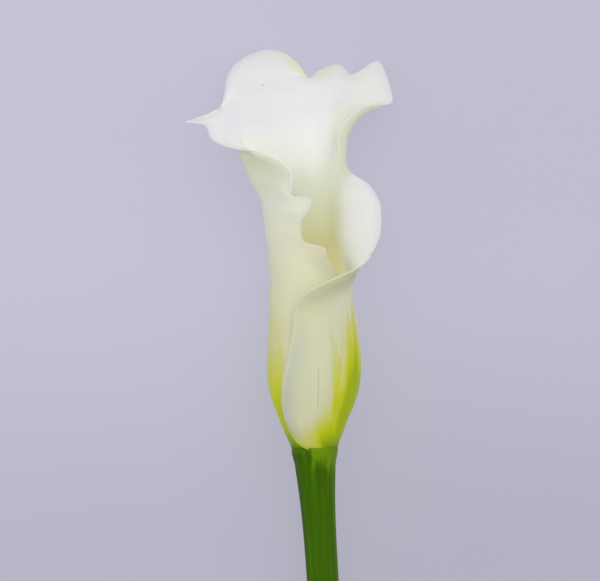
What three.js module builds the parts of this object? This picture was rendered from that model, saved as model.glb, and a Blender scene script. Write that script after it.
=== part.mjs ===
// Calla lily flower, cut and lying on its side: stem, spathe (the one rolled white leaf) and spadix.
// Millimetres, +Z up. The stem runs along Y and the mouth of the flower faces +Y and up.
// The flower touches the surface, z = 0, with the cut end of the stem and with the curled-back lip.
import * as THREE from "three";

// ---- Driving dimensions ----------------------------------------------------------------------
const STEM_LENGTH = 140; // from the cut to the foot of the spathe
const STEM_RADIUS = 5.1; // along most of the stem
const FOOT_RADIUS = 7.0; // where the stem widens to carry the spathe
const KNOB_TOP = 3; // height of the knob that carries the spadix, inside the spathe
const LEAN = 0.11; // rise of the flower's axis for each millimetre towards the mouth
const WALL = 1.0; // thickness of the spathe
const LAYER_STEP = 1.6; // how much further out the covering margin lies than the covered one
const FIT_GAP = 0.3; // clearance between neighbouring pieces
const SPADIX_RADIUS = 3.5;
const SPADIX_TIP = 56; // height of the spadix tip above the foot of the spathe
const FOOT_AT = [7.9, 9.1, 0]; // where the foot of the spathe stands in the part's frame

const FLARE_FROM = 0.86; // share of the leaf's width from which the covering margin flares
const THIN_FROM = 0.93; // share of the leaf's length from which it thins towards the apex
const APEX_WALL = 0.6; // thickness of the apex, as a share of WALL

// Facets: enough for the curl of the margin, few enough to stay a light model.
const LEAF_COLUMNS = 40;
const LEAF_ROW_PITCH = 3.2;
const STEM_SIDES = 32;
const SPADIX_SIDES = 24;

// ---- Spathe: control rings from the foot to the apex -------------------------------------------
// The tube: [height, centre x, radius, angle of the covered margin, angle of the covering margin,
// flare of the covering margin]. Angles run from +X (0) over the top (90) to -X (180).
const TUBE_RINGS = [
  [0, -0.45, 6.55, 70, 102, 0],
  [1.5, -0.55, 6.95, 67, 121, 0],
  [4, -0.65, 7.85, 60, 134, 0],
  [9, -0.75, 9.75, 50, 140, 0],
  [15, -0.7, 12.1, 42, 135, 0.1],
  [22, -0.6, 13.5, 38, 127, 0.2],
  [30, -0.6, 13.3, 36, 118.5, 0.5],
  [38, -1, 12.7, 36, 112, 1.3],
  [45, -1.4, 12.1, 38, 102, 3.2],
];

// The mouth: each ring has nine points, from the left margin down round the back of the flower
// to the right margin, at the shares ACROSS of the leaf's width.
const ACROSS = [0, 0.09, 0.2, 0.35, 0.5, 0.63, 0.76, 0.89, 1];
const MOUTH_RINGS = [
  // the opening starts: the right margin lifts off the tube
  [[6.5, 53.1, 34.6], [-0.6, 53.1, 38], [-8.6, 53.1, 35.4], [-12.6, 53.1, 22], [-2.1, 52.9, 14.2],
    [6.4, 53.1, 18], [9.9, 52.8, 25], [11.2, 51.3, 34.4], [6.8, 51.9, 40.6]],
  [[3.4, 57.5, 38], [-3, 57.5, 38.6], [-9.8, 57.2, 35.2], [-12.9, 57.3, 22.5], [-2.4, 57.4, 14.7],
    [5.8, 57.4, 18.2], [9, 57, 25.8], [12.1, 55.6, 33.2], [14.7, 56, 36.6]],
  [[2, 60.9, 39.2], [-3.9, 60.8, 39], [-10.3, 60.8, 35], [-13.1, 60.9, 23], [-2.4, 61, 15],
    [5.5, 61, 18.4], [8.4, 60.6, 26.5], [13.1, 59.4, 32], [17.7, 60.3, 34.4]],
  [[-2.3, 61.9, 39.6], [-5.5, 62.5, 39.2], [-11.3, 62.9, 34.6], [-13.3, 63, 23.3], [-2.8, 62.8, 15.2],
    [5.3, 62.8, 18.6], [8.2, 62.4, 27], [13.4, 61.4, 31.6], [19, 63.1, 33.5]],
  [[-4.1, 65.8, 40.2], [-7.2, 66, 39.3], [-12, 66.2, 35], [-13.7, 66.2, 23.8], [-3, 66.2, 15.3],
    [5, 66.1, 18.7], [8.1, 65.8, 27], [13.9, 65.3, 31.1], [19.6, 65.9, 32.6]],
  // the small ruffle of the left margin stands out over the throat
  [[-4.1, 68.9, 41.4], [-7.2, 69.2, 40.2], [-12.2, 69.6, 35.7], [-14.1, 69.7, 24.2], [-3, 69.5, 15.3],
    [4.9, 69.5, 18.6], [8.1, 69.3, 26.8], [14.2, 69.1, 30.6], [19.9, 68.9, 31.6]],
  [[-1.7, 71.8, 42.2], [-6.3, 71.8, 42], [-11.7, 72.2, 36.8], [-14.6, 72.5, 24.9], [-3, 72.5, 15.3],
    [4.9, 72.5, 18.5], [8.1, 72.5, 26.6], [14.2, 72.4, 30], [19.8, 71.9, 30.7]],
  [[-0.9, 75.3, 40.6], [-6.3, 74.7, 41], [-11.7, 74.6, 36.8], [-15.1, 74.7, 25], [-3, 75.1, 15.6],
    [4.9, 75.2, 18.4], [8, 75.3, 26.2], [13.8, 75.1, 29.5], [19.3, 74.6, 29.9]],
  [[-3.5, 75.6, 40], [-7.8, 76, 41], [-12.5, 76.3, 36.6], [-16, 76.5, 25.4], [-3, 76.8, 15.9],
    [4.8, 76.9, 18.4], [8, 77.1, 25.7], [13, 76.9, 29], [18.3, 76.6, 29.4]],
  [[-6.1, 76, 40.8], [-9.1, 77.7, 40.8], [-13.3, 78.2, 36.6], [-16.7, 78.3, 25.8], [-3, 78.6, 16.2],
    [4.7, 78.7, 18.4], [7.8, 79.1, 25], [12, 78.7, 28.5], [16.8, 79, 29]],
  [[-6.7, 80, 40.6], [-10, 80.2, 40], [-14.9, 80.6, 36.2], [-18.2, 81, 26.4], [-3.1, 81, 16.8],
    [4.6, 80.9, 18], [7.7, 81.5, 24], [10.5, 81.6, 28.2], [13.6, 81.4, 29.2]],
  // the waist above the right flap, and the near lip on the left
  [[-7.2, 83.5, 40.2], [-10.4, 83.3, 39.4], [-16.3, 83.7, 35.8], [-19.5, 84.7, 27.6], [-3.3, 84.9, 18],
    [4.6, 85.2, 18.4], [7.5, 85.3, 23], [9, 85.5, 27.5], [8.5, 84.2, 30]],
  [[-11.6, 87, 39.6], [-15, 86.6, 38.6], [-20.1, 87.9, 35.4], [-20.1, 89.3, 29.6], [-3.3, 89.4, 19.4],
    [4.9, 89.4, 19], [7.8, 89.4, 22.4], [9, 89.2, 27], [7.2, 88.7, 30.6]],
  [[-17.7, 89, 38.6], [-20.4, 89.8, 37.6], [-22.1, 92, 35], [-17.8, 93.3, 30.6], [-3.3, 93.5, 20.6],
    [4.9, 93.6, 19.4], [8, 93.6, 22], [9.2, 93.6, 26.4], [7, 93.8, 30.6]],
  [[-24.4, 90, 37], [-24.6, 92.2, 36], [-23.9, 95.3, 34], [-16.2, 96.6, 29.8], [-3.3, 97.2, 20.2],
    [4.9, 97.4, 19], [8.8, 97.3, 21], [10.7, 97.3, 25.4], [8.7, 98.1, 29.6]],
  [[-31.3, 93.5, 34.6], [-28.7, 94.7, 33.4], [-25.3, 98.1, 31.2], [-15.3, 99.6, 27], [-3, 100.3, 18.4],
    [5.5, 100.5, 17.6], [10.1, 100.5, 19.4], [13.7, 100.8, 23.6], [13.5, 102.2, 27.4]],
  // the drawn-out tip on the left, the corner of the right lobe
  [[-33.3, 97.4, 32], [-30.7, 98.6, 30.4], [-25.5, 100.6, 28.2], [-14.7, 101.9, 23.6], [-3, 102.5, 16],
    [5.5, 102.4, 15.8], [10.9, 102.6, 18], [16.7, 102.7, 22], [18.9, 103.9, 25.2]],
  [[-38.8, 98.4, 29.4], [-32.4, 99.6, 26.8], [-24.9, 102.9, 24.2], [-14.2, 104, 20], [-3, 104.3, 13.6],
    [5.8, 104.3, 14], [11.5, 104.3, 16.6], [17.8, 104.3, 20.4], [23, 104.4, 22.8]],
  [[-32.7, 100.2, 26.4], [-28.9, 102.3, 23.2], [-23.2, 105, 20.4], [-13.3, 106.3, 16.4], [-2.7, 106.5, 11.1],
    [5.8, 106.3, 11.8], [11.1, 106.5, 14.8], [17.3, 107.4, 18], [23, 108.4, 19]],
  [[-27.6, 105.4, 18.8], [-25.4, 107.4, 17.4], [-20.6, 108.7, 15.2], [-11.8, 109.1, 12], [-2.7, 108.9, 8.8],
    [5.5, 108.7, 9.8], [9.9, 109.2, 11.9], [15.5, 111.6, 13.6], [21.6, 113.6, 13]],
  // over the crest: the lobes curl back down to the surface
  [[-26.7, 112.5, 9.8], [-23.5, 113, 11.4], [-17.9, 112.4, 11.2], [-10.3, 111.3, 9.2], [-2.7, 110.8, 7.2],
    [4.6, 110.6, 8], [8.6, 111.2, 9.2], [12.1, 112.2, 9.4], [18.5, 117.9, 6.4]],
  [[-21.6, 119.2, 2.4], [-17.6, 117.9, 5.6], [-12.7, 115.7, 7.4], [-7.6, 113.3, 6.6], [-2.4, 112.2, 4.9],
    [2.5, 112.1, 5.6], [5.6, 112.5, 6.4], [8.6, 113.2, 5.8], [12.6, 113.3, 4]],
  [[-10.8, 121.4, 0.3], [-8.5, 119.2, 2.6], [-6.3, 116.5, 4.2], [-4.2, 113.9, 4.2], [-2.1, 112.7, 2.9],
    [0.2, 112.8, 3.4], [2.5, 113.6, 3.6], [4.7, 115.2, 2.4], [7.5, 117.2, 0.3]],
  // the apex
  [[-3.6, 115.6, 1.6], [-3.3, 114.8, 1.9], [-3, 114.2, 2], [-2.4, 113.3, 1.7], [-2, 112.6, 1.5],
    [-1.6, 112.8, 1.5], [-1, 113.3, 1.6], [-0.4, 113.9, 1.6], [0.4, 114.8, 1.5]],
];

// ---- Shape tools -------------------------------------------------------------------------------
const axisHeight = (y) => STEM_RADIUS + (y + STEM_LENGTH) * LEAN;
const clamp01 = (v) => Math.min(1, Math.max(0, v));
const smooth = (v) => clamp01(v) ** 2 * (3 - 2 * clamp01(v));

// A natural cubic spline through rows of numbers at rising knots: a function of the knot value.
function naturalSpline(knots, rows) {
  const last = knots.length - 1;
  const size = rows[0].length;
  const bend = rows.map(() => new Array(size).fill(0));
  const share = new Array(last + 1).fill(0);
  for (let i = 1; i < last; i++) {
    const a = knots[i] - knots[i - 1];
    const b = knots[i + 1] - knots[i];
    const pivot = 2 * (a + b) - a * share[i - 1];
    share[i] = b / pivot;
    for (let k = 0; k < size; k++) {
      const turn = 6 * ((rows[i + 1][k] - rows[i][k]) / b - (rows[i][k] - rows[i - 1][k]) / a);
      bend[i][k] = (turn - a * bend[i - 1][k]) / pivot;
    }
  }
  for (let i = last - 1; i > 0; i--)
    for (let k = 0; k < size; k++) bend[i][k] -= share[i] * bend[i + 1][k];
  return (u) => {
    let i = 0;
    while (i < last - 1 && u > knots[i + 1]) i++;
    const h = knots[i + 1] - knots[i];
    const a = knots[i + 1] - u;
    const b = u - knots[i];
    return rows[i].map(
      (v, k) =>
        (bend[i][k] * a ** 3 + bend[i + 1][k] * b ** 3) / (6 * h) +
        (v / h - (bend[i][k] * h) / 6) * a +
        (rows[i + 1][k] / h - (bend[i + 1][k] * h) / 6) * b,
    );
  };
}

// A point of a tube ring at the share s of the leaf's width.
function tubePoint([y, cx, radius, covered, covering, flare], s) {
  const turn = s < 0.5 ? covered + (270 - covered) * 2 * s : 270 + (90 + covering) * (2 * s - 1);
  const angle = THREE.MathUtils.degToRad(turn);
  const r = radius + LAYER_STEP * (s - 0.5) + flare * clamp01((s - FLARE_FROM) / (1 - FLARE_FROM)) ** 2;
  return [cx + r * Math.cos(angle), y, axisHeight(y) + r * Math.sin(angle)];
}

const ringCurves = [
  ...TUBE_RINGS.map((ring) => (s) => tubePoint(ring, s)),
  ...MOUTH_RINGS.map((points) => naturalSpline(ACROSS, points)),
];

// Knots along the leaf: the mean distance from ring to ring.
const ringKnots = [0];
for (let i = 1; i < ringCurves.length; i++) {
  let sum = 0;
  for (let k = 0; k <= 100; k++) {
    const a = ringCurves[i - 1](k / 100);
    const b = ringCurves[i](k / 100);
    sum += Math.hypot(b[0] - a[0], b[1] - a[1], b[2] - a[2]);
  }
  ringKnots.push(ringKnots[i - 1] + sum / 101);
}

// Rows of the leaf's grid: every control ring, and more rows between the ones that stand apart.
function leafRows() {
  const rows = [0];
  for (let i = 1; i < ringKnots.length; i++) {
    const gap = ringKnots[i] - ringKnots[i - 1];
    const steps = Math.max(1, Math.round(gap / LEAF_ROW_PITCH));
    for (let k = 1; k <= steps; k++) rows.push(ringKnots[i - 1] + (gap * k) / steps);
  }
  return rows;
}

// A closed solid from two grids of points, its front and its back, joined along all four edges.
function closedShell(front, back) {
  const rows = front.length;
  const columns = front[0].length;
  const corners = [...front.flat(), ...back.flat()];
  const faces = [];
  const quad = (a, b, c, d) => faces.push(a, b, c, a, c, d);
  const at = (side, i, j) => side * rows * columns + i * columns + j;
  for (let i = 0; i + 1 < rows; i++)
    for (let j = 0; j + 1 < columns; j++) {
      quad(at(0, i, j), at(0, i, j + 1), at(0, i + 1, j + 1), at(0, i + 1, j));
      quad(at(1, i, j), at(1, i + 1, j), at(1, i + 1, j + 1), at(1, i, j + 1));
    }
  for (let j = 0; j + 1 < columns; j++) {
    quad(at(0, 0, j + 1), at(0, 0, j), at(1, 0, j), at(1, 0, j + 1));
    quad(at(0, rows - 1, j), at(0, rows - 1, j + 1), at(1, rows - 1, j + 1), at(1, rows - 1, j));
  }
  for (let i = 0; i + 1 < rows; i++) {
    quad(at(0, i, 0), at(0, i + 1, 0), at(1, i + 1, 0), at(1, i, 0));
    const j = columns - 1;
    quad(at(0, i + 1, j), at(0, i, j), at(1, i, j), at(1, i + 1, j));
  }
  return solid(corners, faces);
}

function solid(corners, faces) {
  const geometry = new THREE.BufferGeometry();
  geometry.setAttribute("position", new THREE.Float32BufferAttribute(corners.flat(), 3));
  geometry.setIndex(faces);
  geometry.computeVertexNormals();
  return geometry;
}

// ---- Spathe --------------------------------------------------------------------------------------
function spatheGeometry() {
  const rows = leafRows();
  const step = 0.004; // share of the width, and below of a millimetre, for the slopes of the leaf
  const reach = 0.2;
  const column = (s) => naturalSpline(ringKnots, ringCurves.map((curve) => curve(s)));
  const outer = rows.map(() => []);
  const inner = rows.map(() => []);
  for (let j = 0; j <= LEAF_COLUMNS; j++) {
    const s = j / LEAF_COLUMNS;
    const here = column(s);
    const [before, after] = [column(Math.max(0, s - step)), column(Math.min(1, s + step))];
    rows.forEach((t, i) => {
      const point = new THREE.Vector3(...here(t));
      const low = Math.max(0, t - reach);
      const high = Math.min(rows.at(-1), t + reach);
      const along = new THREE.Vector3(...here(high)).sub(new THREE.Vector3(...here(low)));
      const across = new THREE.Vector3(...after(t)).sub(new THREE.Vector3(...before(t)));
      const inward = across.cross(along);
      if (i === 0) inward.y = 0; // the foot stands square on the stem
      inward.normalize();
      const thinning = smooth((t / rows.at(-1) - THIN_FROM) / (1 - THIN_FROM));
      const half = (WALL / 2) * (1 - (1 - APEX_WALL) * thinning);
      inner[i].push(point.clone().addScaledVector(inward, half).toArray());
      outer[i].push(point.clone().addScaledVector(inward, -half).toArray());
    });
  }
  return closedShell(inner, outer);
}

// ---- Stem and spadix: round sections along a gently bent axis ------------------------------------
function roundBody(sections, sides, centreX) {
  const corners = [];
  const faces = [];
  const put = (y, x, z) => corners.push([x, y, z]) - 1;
  const first = put(sections[0][0], centreX(sections[0][0]), axisHeight(sections[0][0]));
  let previous = null;
  for (const [y, radius] of sections) {
    const ring = [];
    for (let k = 0; k < sides; k++) {
      const angle = (2 * Math.PI * k) / sides;
      ring.push(put(y, centreX(y) + radius * Math.cos(angle), axisHeight(y) + radius * Math.sin(angle)));
    }
    for (let k = 0; k < sides; k++) {
      const n = (k + 1) % sides;
      if (!previous) faces.push(first, ring[k], ring[n]);
      else faces.push(previous[k], ring[k], ring[n], previous[k], ring[n], previous[n]);
    }
    previous = ring;
  }
  const [endY] = sections.at(-1);
  const last = put(endY, centreX(endY), axisHeight(endY));
  for (let k = 0; k < sides; k++) faces.push(last, previous[(k + 1) % sides], previous[k]);
  return solid(corners, faces);
}

function stemGeometry() {
  const bend = naturalSpline([-STEM_LENGTH, -90, -39, -12, 4], [[7.6], [5.2], [2.35], [0.55], [-0.6]]);
  const girth = naturalSpline(
    [-STEM_LENGTH, -70, -39, -24, -12, -6, -2, 0],
    [[STEM_RADIUS], [4.95], [4.85], [5.05], [5.6], [6.05], [6.5], [FOOT_RADIUS]],
  );
  const heights = [-STEM_LENGTH, -125, -110, -95, -80, -65, -54, -45, -39, -33, -28, -24, -20, -16, -12, -9, -6, -3];
  const sections = heights.map((y) => [y, girth(y)[0]]);
  // the flat shoulder that carries the spathe, and the knob that carries the spadix
  sections.push([-FIT_GAP, FOOT_RADIUS], [-FIT_GAP, 4.6], [1.8, 4.3], [2.7, 3.7], [KNOB_TOP, 3]);
  return roundBody(sections, STEM_SIDES, (y) => bend(y)[0]);
}

function spadixGeometry() {
  const centre = naturalSpline([0, 20, 40, 60], [[-0.1], [-0.6], [-1], [-2.4]]);
  const start = KNOB_TOP + FIT_GAP;
  const sections = [[start, 2.8]];
  for (let k = 1; k <= 20; k++) {
    const share = Math.sin((k / 20) * Math.PI * 0.5);
    const y = start + (SPADIX_TIP - start) * share;
    const round = Math.sqrt(1 - ((share - 0.9) / 0.1) ** 2 * (share > 0.9 ? 1 : 0));
    const taper = 1 - 0.22 * smooth((share - 0.35) / 0.6);
    const swell = 0.8 + 0.2 * smooth(share / 0.12);
    sections.push([y, Math.max(0.25, SPADIX_RADIUS * swell * taper * (k === 20 ? 0 : round))]);
  }
  return roundBody(sections, SPADIX_SIDES, (y) => centre(y)[0]);
}

// ---- Assembly --------------------------------------------------------------------------------------
const materials = {
  stem: new THREE.MeshStandardMaterial({ color: "#4f7a1c", roughness: 0.55 }),
  spathe: new THREE.MeshStandardMaterial({ color: "#e9ebdf", roughness: 0.5 }),
  spadix: new THREE.MeshStandardMaterial({ color: "#e2b62c", roughness: 0.8 }),
};

const flower = new THREE.Group();
flower.name = "calla_lily";
const bodies = { stem: stemGeometry(), spathe: spatheGeometry(), spadix: spadixGeometry() };
for (const [name, geometry] of Object.entries(bodies)) {
  const mesh = new THREE.Mesh(geometry, materials[name]);
  mesh.name = name;
  mesh.position.set(...FOOT_AT);
  flower.add(mesh);
}

export default flower;
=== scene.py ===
"""Calla lily flower lying on a pale surface: stem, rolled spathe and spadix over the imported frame."""

import math

import bpy
import numpy as np
from bpy.props import FloatProperty, FloatVectorProperty, IntProperty, PointerProperty
from bpy.types import Operator, Panel, PropertyGroup
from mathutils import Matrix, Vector
from mathutils.bvhtree import BVHTree


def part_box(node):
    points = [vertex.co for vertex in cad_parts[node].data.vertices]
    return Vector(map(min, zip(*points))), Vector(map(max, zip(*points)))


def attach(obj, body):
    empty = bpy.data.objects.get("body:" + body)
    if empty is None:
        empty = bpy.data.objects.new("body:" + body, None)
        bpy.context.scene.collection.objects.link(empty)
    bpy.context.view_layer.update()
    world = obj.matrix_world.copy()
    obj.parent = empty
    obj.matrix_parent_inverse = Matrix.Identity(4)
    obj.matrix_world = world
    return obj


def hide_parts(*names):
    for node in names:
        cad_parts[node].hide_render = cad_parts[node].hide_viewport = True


bl_info = {
    "name": "Calla lily flower",
    "version": (1, 0, 0),
    "blender": (4, 5, 0),
    "location": "View3D > Sidebar > Calla lily",
    "description": "Models a cut calla lily over its packed frame",
    "category": "Add Mesh",
}

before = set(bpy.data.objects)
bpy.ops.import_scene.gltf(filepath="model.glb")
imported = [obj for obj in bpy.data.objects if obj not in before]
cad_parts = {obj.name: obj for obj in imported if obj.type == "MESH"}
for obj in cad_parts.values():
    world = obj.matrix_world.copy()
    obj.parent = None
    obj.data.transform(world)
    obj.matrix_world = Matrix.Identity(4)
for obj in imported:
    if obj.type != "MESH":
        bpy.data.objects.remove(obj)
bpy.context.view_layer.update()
MM = 0.001
GOLDEN_ANGLE = math.pi * (3 - math.sqrt(5))
GOLDEN_SHARE = 0.618034

# The flower's own measures are millimetres from the foot of the spathe: x right, y towards the
# mouth, z up from the surface. FOOT moves them into the frame.
STEM_LENGTH = 140.0
STEM_RADIUS = 5.1
FOOT_RADIUS = 7.0
LEAN = 0.11  # rise of the axis for each mm towards the mouth
# Heights, and the x of the stem's middle or its radius there.
STEM_BEND = ((-140, -90, -39, -12, 4), (7.6, 5.2, 2.35, 0.55, -0.5))
STEM_GIRTH = (
    (-140, -70, -39, -24, -12, -6, -2, 0),
    (STEM_RADIUS, 4.95, 4.85, 5.05, 5.6, 6.05, 6.5, FOOT_RADIUS),
)
CUT_BEVEL, CUT_INSET = 0.4, 0.35  # length and depth of the bevel round the cut end
# Flat shoulder under the spathe, then the knob that carries the spadix: height and radius.
SHOULDER = ((0, FOOT_RADIUS), (0.5, FOOT_RADIUS), (0.6, FOOT_RADIUS - 0.2))
KNOB = ((0.6, 4.6), (1.8, 4.3), (2.7, 3.7), (3, 3))
SHOULDER_LENGTH, SHOULDER_REACH = 4.5, 0.4  # how it takes up the leaf's outline, and passes it

LAYER_STEP = 1.6  # how much further out the covering margin lies than the covered one
FLARE_FROM = 0.86  # share of the leaf's width from which the covering margin flares
BACK = 270.0  # angle of the back of the leaf
FOOT_WALL, APEX_WALL = 0.62, 0.55  # shares of the full wall
FOOT_FADE, MARGIN_FADE, APEX_FADE = 0.06, 0.07, 0.1  # shares of the leaf over which it thins
# Rays at a place, rows and columns from place to place, mm from the skin, mm that a ray reaches.
SKY_RAYS, SKY_STEP, SKY_START, SKY_REACH = 64, 4, 0.4, 100.0

SPADIX_BEND = ((0, 20, 40, 60), (-0.1, -0.6, -1, -2.4))
SPADIX_FROM, SPADIX_TO, SPADIX_RADIUS = 3.3, 56.0, 3.5
CORE_RADIUS, CORE_SIDES, CORE_STEPS = 2.6, 32, 24

AIM = (-4.5, 47.85, 27.0)  # what the camera and the light look at
KEY_OFFSET, KEY_SIZE = Vector((0.0, 0.4, 1.3)), 1.2  # metres from there to the light, its side
VIEW_WIDTH, SENSOR = 0.18, 36.0  # metres seen at the flower, mm of the camera's sensor
FOOT = Vector((7.9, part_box("spathe")[0].y / MM, 0.0))

# Tube of the spathe: height, centre x, radius, angles of the covered and the covering margin,
# flare of the covering margin. Angles run from +x (0) over the top (90) to the back (270).
TUBE_RINGS = (
    (0, -0.45, 6.55, 70, 102, 0),
    (1.5, -0.55, 6.95, 67, 121, 0),
    (4, -0.65, 7.85, 60, 134, 0),
    (9, -0.75, 9.75, 50, 140, 0),
    (15, -0.7, 12.1, 42, 135, 0.1),
    (22, -0.6, 13.5, 38, 127, 0.2),
    (30, -0.6, 13.3, 36, 118.5, 0.5),
    (38, -1, 12.7, 36, 112, 1.3),
    (45, -1.4, 12.1, 38, 102, 3.2),
)
# Shares of the leaf's width that the nine points of a mouth ring stand at.
ACROSS = (0, 0.09, 0.2, 0.35, 0.5, 0.63, 0.76, 0.89, 1)
# Mouth of the spathe: each ring runs from the left margin round the back to the right margin.
MOUTH_RINGS = (
    # the opening starts: the right margin lifts off the tube
    ((6.5, 53.1, 34.6), (-0.6, 53.1, 38), (-8.6, 53.1, 35.4), (-12.6, 53.1, 22), (-2.1, 52.9, 14.2),
      (6.4, 53.1, 18), (9.9, 52.8, 25), (11.2, 51.3, 34.4), (6.8, 51.9, 40.6)),
    ((3.4, 57.5, 38), (-3, 57.5, 38.6), (-9.8, 57.2, 35.2), (-12.9, 57.3, 22.5), (-2.4, 57.4, 14.7),
      (5.8, 57.4, 18.2), (9, 57, 25.8), (12.1, 55.6, 33.2), (14.7, 56, 36.6)),
    ((2, 60.9, 39.2), (-3.9, 60.8, 39), (-10.3, 60.8, 35), (-13.1, 60.9, 23), (-2.4, 61, 15),
      (5.5, 61, 18.4), (8.4, 60.6, 26.5), (13.1, 59.4, 32), (17.7, 60.3, 34.4)),
    ((-2.3, 61.9, 39.6), (-5.5, 62.5, 39.2), (-11.3, 62.9, 34.6), (-13.3, 63, 23.3), (-2.8, 62.8, 15.2),
      (5.3, 62.8, 18.6), (8.2, 62.4, 27), (13.4, 61.4, 31.6), (19, 63.1, 33.5)),
    ((-4.1, 65.8, 40.2), (-7.2, 66, 39.3), (-12, 66.2, 35), (-13.7, 66.2, 23.8), (-3, 66.2, 15.3),
      (5, 66.1, 18.7), (8.1, 65.8, 27), (13.9, 65.3, 31.1), (19.6, 65.9, 32.6)),
    # the small ruffle of the left margin stands out over the throat
    ((-4.1, 68.9, 41.4), (-7.2, 69.2, 40.2), (-12.2, 69.6, 35.7), (-14.1, 69.7, 24.2), (-3, 69.5, 15.3),
      (4.9, 69.5, 18.6), (8.1, 69.3, 26.8), (14.2, 69.1, 30.6), (19.9, 68.9, 31.6)),
    ((-1.7, 71.8, 42.2), (-6.3, 71.8, 42), (-11.7, 72.2, 36.8), (-14.6, 72.5, 24.9), (-3, 72.5, 15.3),
      (4.9, 72.5, 18.5), (8.1, 72.5, 26.6), (14.2, 72.4, 30), (19.8, 71.9, 30.7)),
    ((-0.9, 75.3, 40.6), (-6.3, 74.7, 41), (-11.7, 74.6, 36.8), (-15.1, 74.7, 25), (-3, 75.1, 15.6),
      (4.9, 75.2, 18.4), (8, 75.3, 26.2), (13.8, 75.1, 29.5), (19.3, 74.6, 29.9)),
    ((-3.5, 75.6, 40), (-7.8, 76, 41), (-12.5, 76.3, 36.6), (-16, 76.5, 25.4), (-3, 76.8, 15.9),
      (4.8, 76.9, 18.4), (8, 77.1, 25.7), (13, 76.9, 29), (18.3, 76.6, 29.4)),
    ((-6.1, 76, 40.8), (-9.1, 77.7, 40.8), (-13.3, 78.2, 36.6), (-16.7, 78.3, 25.8), (-3, 78.6, 16.2),
      (4.7, 78.7, 18.4), (7.8, 79.1, 25), (12, 78.7, 28.5), (16.8, 79, 29)),
    ((-6.7, 80, 40.6), (-10, 80.2, 40), (-14.9, 80.6, 36.2), (-18.2, 81, 26.4), (-3.1, 81, 16.8),
      (4.6, 80.9, 18), (7.7, 81.5, 24), (10.5, 81.6, 28.2), (13.6, 81.4, 29.2)),
    # the waist above the right flap, and the near lip on the left
    ((-7.2, 83.5, 40.2), (-10.4, 83.3, 39.4), (-16.3, 83.7, 35.8), (-19.5, 84.7, 27.6), (-3.3, 84.9, 18),
      (4.6, 85.2, 18.4), (7.5, 85.3, 23), (9, 85.5, 27.5), (8.5, 84.2, 30)),
    ((-11.6, 87, 39.6), (-15, 86.6, 38.6), (-20.1, 87.9, 35.4), (-20.1, 89.3, 29.6), (-3.3, 89.4, 19.4),
      (4.9, 89.4, 19), (7.8, 89.4, 22.4), (9, 89.2, 27), (7.2, 88.7, 30.6)),
    ((-17.7, 89, 38.6), (-20.4, 89.8, 37.6), (-22.1, 92, 35), (-17.8, 93.3, 30.6), (-3.3, 93.5, 20.6),
      (4.9, 93.6, 19.4), (8, 93.6, 22), (9.2, 93.6, 26.4), (7, 93.8, 30.6)),
    ((-24.4, 90, 37), (-24.6, 92.2, 36), (-23.9, 95.3, 34), (-16.2, 96.6, 29.8), (-3.3, 97.2, 20.2),
      (4.9, 97.4, 19), (8.8, 97.3, 21), (10.7, 97.3, 25.4), (8.7, 98.1, 29.6)),
    ((-31.3, 93.5, 34.6), (-28.7, 94.7, 33.4), (-25.3, 98.1, 31.2), (-15.3, 99.6, 27), (-3, 100.3, 18.4),
      (5.5, 100.5, 17.6), (10.1, 100.5, 19.4), (13.7, 100.8, 23.6), (13.5, 102.2, 27.4)),
    # the drawn-out tip on the left, the corner of the right lobe
    ((-33.3, 97.4, 32), (-30.7, 98.6, 30.4), (-25.5, 100.6, 28.2), (-14.7, 101.9, 23.6), (-3, 102.5, 16),
      (5.5, 102.4, 15.8), (10.9, 102.6, 18), (16.7, 102.7, 22), (18.9, 103.9, 25.2)),
    ((-38.8, 98.4, 29.4), (-32.4, 99.6, 26.8), (-24.9, 102.9, 24.2), (-14.2, 104, 20), (-3, 104.3, 13.6),
      (5.8, 104.3, 14), (11.5, 104.3, 16.6), (17.8, 104.3, 20.4), (23, 104.4, 22.8)),
    ((-32.7, 100.2, 26.4), (-28.9, 102.3, 23.2), (-23.2, 105, 20.4), (-13.3, 106.3, 16.4),
      (-2.7, 106.5, 11.1), (5.8, 106.3, 11.8), (11.1, 106.5, 14.8), (17.3, 107.4, 18), (23, 108.4, 19)),
    ((-27.6, 105.4, 18.8), (-25.4, 107.4, 17.4), (-20.6, 108.7, 15.2), (-11.8, 109.1, 12),
      (-2.7, 108.9, 8.8), (5.5, 108.7, 9.8), (9.9, 109.2, 11.9), (15.5, 111.6, 13.6), (21.6, 113.6, 13)),
    # over the crest: the lobes curl back down to the surface
    ((-26.7, 112.5, 9.8), (-23.5, 113, 11.4), (-17.9, 112.4, 11.2), (-10.3, 111.3, 9.2), (-2.7, 110.8, 7.2),
      (4.6, 110.6, 8), (8.6, 111.2, 9.2), (12.1, 112.2, 9.4), (18.5, 117.9, 6.4)),
    ((-21.6, 119.2, 2.4), (-17.6, 117.9, 5.6), (-12.7, 115.7, 7.4), (-7.6, 113.3, 6.6), (-2.4, 112.2, 4.9),
      (2.5, 112.1, 5.6), (5.6, 112.5, 6.4), (8.6, 113.2, 5.8), (12.6, 113.3, 4)),
    ((-10.8, 121.4, 0.3), (-8.5, 119.2, 2.6), (-6.3, 116.5, 4.2), (-4.2, 113.9, 4.2), (-2.1, 112.7, 2.9),
      (0.2, 112.8, 3.4), (2.5, 113.6, 3.6), (4.7, 115.2, 2.4), (7.5, 117.2, 0.3)),
    # the apex
    ((-3.6, 115.6, 1.6), (-3.3, 114.8, 1.9), (-3, 114.2, 2), (-2.4, 113.3, 1.7), (-2, 112.6, 1.5),
      (-1.6, 112.8, 1.5), (-1, 113.3, 1.6), (-0.4, 113.9, 1.6), (0.4, 114.8, 1.5)),
)


# ---- Shape helpers ----
def axis_height(y):
    """Height of the flower's axis above the surface."""
    return STEM_RADIUS + (y + STEM_LENGTH) * LEAN


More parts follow.
